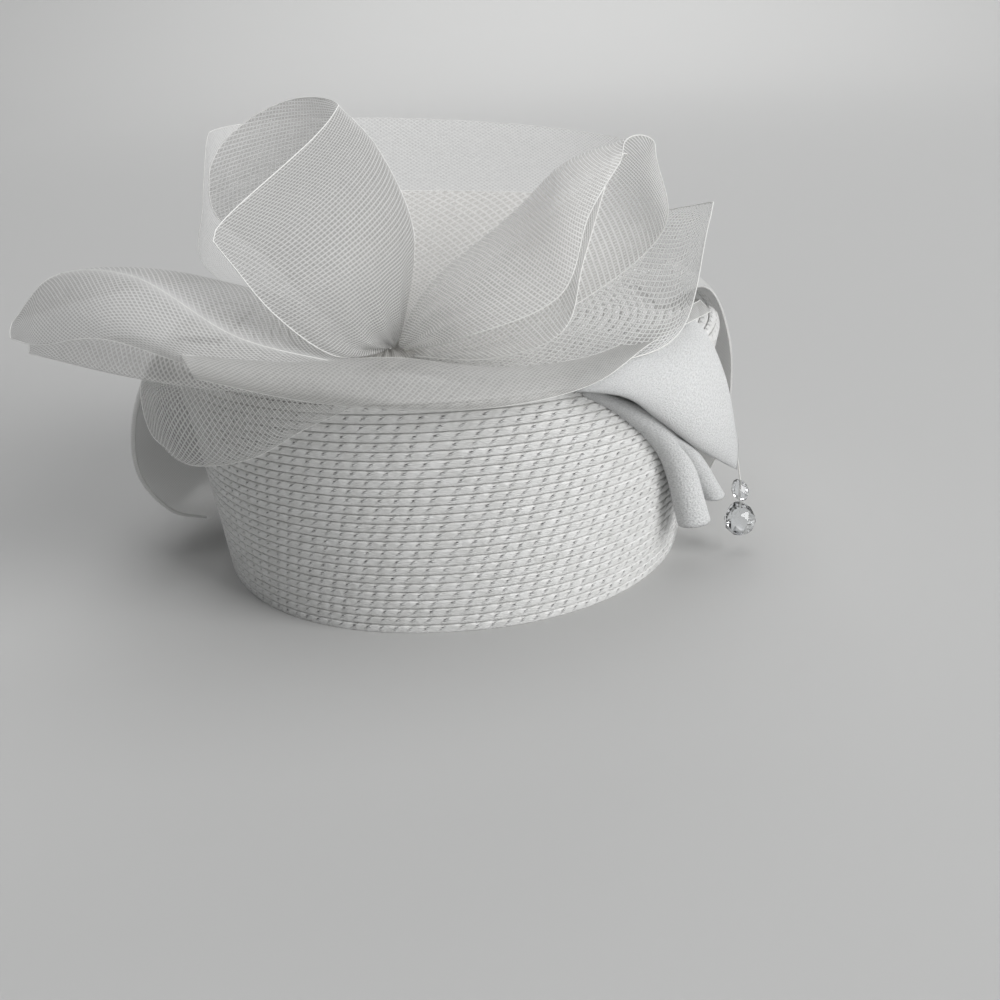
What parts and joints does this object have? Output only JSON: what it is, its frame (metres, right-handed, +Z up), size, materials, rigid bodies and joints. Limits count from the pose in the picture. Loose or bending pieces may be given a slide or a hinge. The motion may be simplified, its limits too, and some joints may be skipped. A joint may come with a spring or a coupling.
{
  "type": "church hat",
  "caption": "White straw-braid pillbox church hat with a wide crinoline bow, a crepe side drape and a clear faceted drop; it rests on its open rim.",
  "frame": {"origin": "centre of the bounding box's footprint, in the plane of the rim that the hat rests on", "axes": "+Z up; the hat's front, where the bow sits, faces -Y; +X is towards the side drape"},
  "size_m": [0.229, 0.2328, 0.1591],
  "materials": {
    "braid": "white synthetic straw braid, glossy",
    "crinoline": "white open nylon mesh, semi-gloss",
    "crepe": "white fine-grained crepe, matte",
    "organza": "sheer white organza",
    "crystal": "clear, faceted and polished",
    "thread": "white polyester thread"
  },
  "bodies": {
    "root": {"crown": "braid", "gather_tie": "thread", "petal_upper_left": "crinoline", "petal_upper_right": "crinoline", "petal_upper_right_ply": "crinoline", "petal_right": "crinoline", "petal_left": "crinoline", "petal_left_ply": "crinoline", "ribbon_front": "crinoline", "petal_lower_left": "crinoline", "petal_back_low": "crinoline", "petal_back_high": "crinoline", "drape_panel": "crepe", "drape_pleat_inner": "crepe", "drape_pleat_outer": "crepe", "organza_left": "organza", "organza_right": "organza", "drop_pin": "thread", "drop_bead": "crystal", "drop_crystal": "crystal"}
  },
  "joints": []
}
